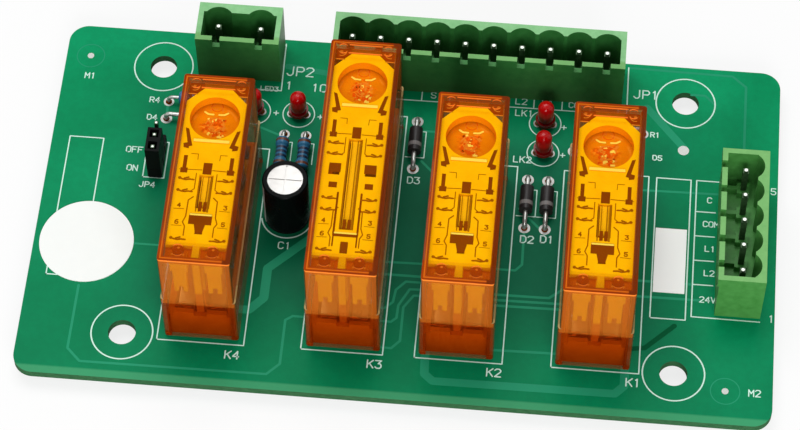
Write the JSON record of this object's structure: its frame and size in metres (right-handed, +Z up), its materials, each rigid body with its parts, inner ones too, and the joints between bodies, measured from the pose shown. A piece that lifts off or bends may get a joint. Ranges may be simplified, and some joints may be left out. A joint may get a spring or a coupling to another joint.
{
  "type": "relay module board",
  "caption": "Relay board with tall amber relays, green pluggable terminal headers and small parts on a green circuit board.",
  "frame": {"origin": "centre of the four mounting holes at the board's underside", "axes": "+X along the board towards the five-way header, +Y to the back row of headers, +Z up through the relays"},
  "size_m": [0.13, 0.073, 0.0286],
  "materials": {
    "solder_mask": "semi-gloss",
    "amber_cover": "clear amber",
    "relay_base": "satin",
    "yellow_plastic": "satin",
    "orange_plastic": "satin",
    "slider_plastic": "satin",
    "copper_wire": "enamelled",
    "steel": "plain",
    "contact_bronze": "plain",
    "tinned_metal": "tinned",
    "solder": "bright",
    "green_plastic": "satin",
    "black_plastic": "satin",
    "red_lens": "glossy",
    "diode_black": "moulded",
    "resistor_blue": "lacquered",
    "can_aluminium": "bright",
    "black_sleeve": "shrunk film",
    "white_label": "paper"
  },
  "bodies": {
    "board_body": {"board": "solder_mask", "k1_cover": "amber_cover", "k1_base": "relay_base", "k1_carrier": "yellow_plastic", "k1_bobbin": "orange_plastic", "k1_winding": "copper_wire", "k1_yoke": "steel", "k1_moving_contacts": "contact_bronze", "k1_fixed_contacts": "contact_bronze", "k2_cover": "amber_cover", "k2_base": "relay_base", "k2_carrier": "yellow_plastic", "k2_bobbin": "orange_plastic", "k2_winding": "copper_wire", "k2_yoke": "steel", "k2_moving_contacts": "contact_bronze", "k2_fixed_contacts": "contact_bronze", "k3_cover": "amber_cover", "k3_base": "relay_base", "k3_carrier": "yellow_plastic", "k3_bobbin": "orange_plastic", "k3_winding": "copper_wire", "k3_yoke": "steel", "k3_moving_contacts": "contact_bronze", "k3_fixed_contacts": "contact_bronze", "k4_cover": "amber_cover", "k4_base": "relay_base", "k4_carrier": "yellow_plastic", "k4_bobbin": "orange_plastic", "k4_winding": "copper_wire", "k4_yoke": "steel", "k4_moving_contacts": "contact_bronze", "k4_fixed_contacts": "contact_bronze", "relay_pins": "tinned_metal", "jp1_housing": "green_plastic", "jp2_housing": "green_plastic", "jp3_housing": "green_plastic", "header_pins": "tinned_metal", "jp4_strip": "black_plastic", "jp4_pins": "tinned_metal", "jumper_shunt": "black_plastic", "jumper_clip": "contact_bronze", "lamps": "red_lens", "diodes": "diode_black", "resistors": "resistor_blue", "part_leads": "tinned_metal", "capacitor_can": "can_aluminium", "capacitor_sleeve": "black_sleeve", "round_sticker": "white_label", "oblong_sticker": "white_label", "solder_joints": "solder"},
    "k1_armature_body": {"k1_armature": "steel"},
    "k1_slider_body": {"k1_slider": "slider_plastic"},
    "k2_armature_body": {"k2_armature": "steel"},
    "k2_slider_body": {"k2_slider": "slider_plastic"},
    "k3_armature_body": {"k3_armature": "steel"},
    "k3_slider_body": {"k3_slider": "slider_plastic"},
    "k4_armature_body": {"k4_armature": "steel"},
    "k4_slider_body": {"k4_slider": "slider_plastic"}
  },
  "joints": [
    {"name": "k1_armature_pivot", "type": "hinge", "parent": "board_body", "child": "k1_armature_body", "pos_m": [0.0336, -0.0047, 0.021], "axis": [-1, 0, 0], "range_deg": [0, 3], "stiffness_Nm_per_rad": 0.00005, "springref_deg": -40.11},
    {"name": "k1_slider_travel", "type": "slide", "parent": "board_body", "child": "k1_slider_body", "axis": [0, -1, 0], "range_m": [0, 0.00047], "stiffness_N_per_m": 5, "springref_m": -0.001, "deforming": ["k1_moving_contacts"]},
    {"name": "k2_armature_pivot", "type": "hinge", "parent": "board_body", "child": "k2_armature_body", "pos_m": [0.0102, -0.0047, 0.021], "axis": [-1, 0, 0], "range_deg": [0, 3], "stiffness_Nm_per_rad": 0.00005, "springref_deg": -40.11},
    {"name": "k2_slider_travel", "type": "slide", "parent": "board_body", "child": "k2_slider_body", "axis": [0, -1, 0], "range_m": [0, 0.00047], "stiffness_N_per_m": 5, "springref_m": -0.001, "deforming": ["k2_moving_contacts"]},
    {"name": "k3_armature_pivot", "type": "hinge", "parent": "board_body", "child": "k3_armature_body", "pos_m": [-0.0092, 0.0047, 0.021], "axis": [-1, 0, 0], "range_deg": [0, 3], "stiffness_Nm_per_rad": 0.00005, "springref_deg": -40.11},
    {"name": "k3_slider_travel", "type": "slide", "parent": "board_body", "child": "k3_slider_body", "axis": [0, -1, 0], "range_m": [0, 0.00047], "stiffness_N_per_m": 5, "springref_m": -0.001, "deforming": ["k3_moving_contacts"]},
    {"name": "k4_armature_pivot", "type": "hinge", "parent": "board_body", "child": "k4_armature_body", "pos_m": [-0.0336, -0.0047, 0.021], "axis": [-1, 0, 0], "range_deg": [0, 3], "stiffness_Nm_per_rad": 0.00005, "springref_deg": -40.11},
    {"name": "k4_slider_travel", "type": "slide", "parent": "board_body", "child": "k4_slider_body", "axis": [0, -1, 0], "range_m": [0, 0.00047], "stiffness_N_per_m": 5, "springref_m": -0.001, "deforming": ["k4_moving_contacts"]}
  ],
  "couplings": [
    {"joint": "k1_armature_pivot", "follows": "k1_slider_travel", "rad_per_m": 111.1},
    {"joint": "k2_armature_pivot", "follows": "k2_slider_travel", "rad_per_m": 111.1},
    {"joint": "k3_armature_pivot", "follows": "k3_slider_travel", "rad_per_m": 111.1},
    {"joint": "k4_armature_pivot", "follows": "k4_slider_travel", "rad_per_m": 111.1}
  ]
}
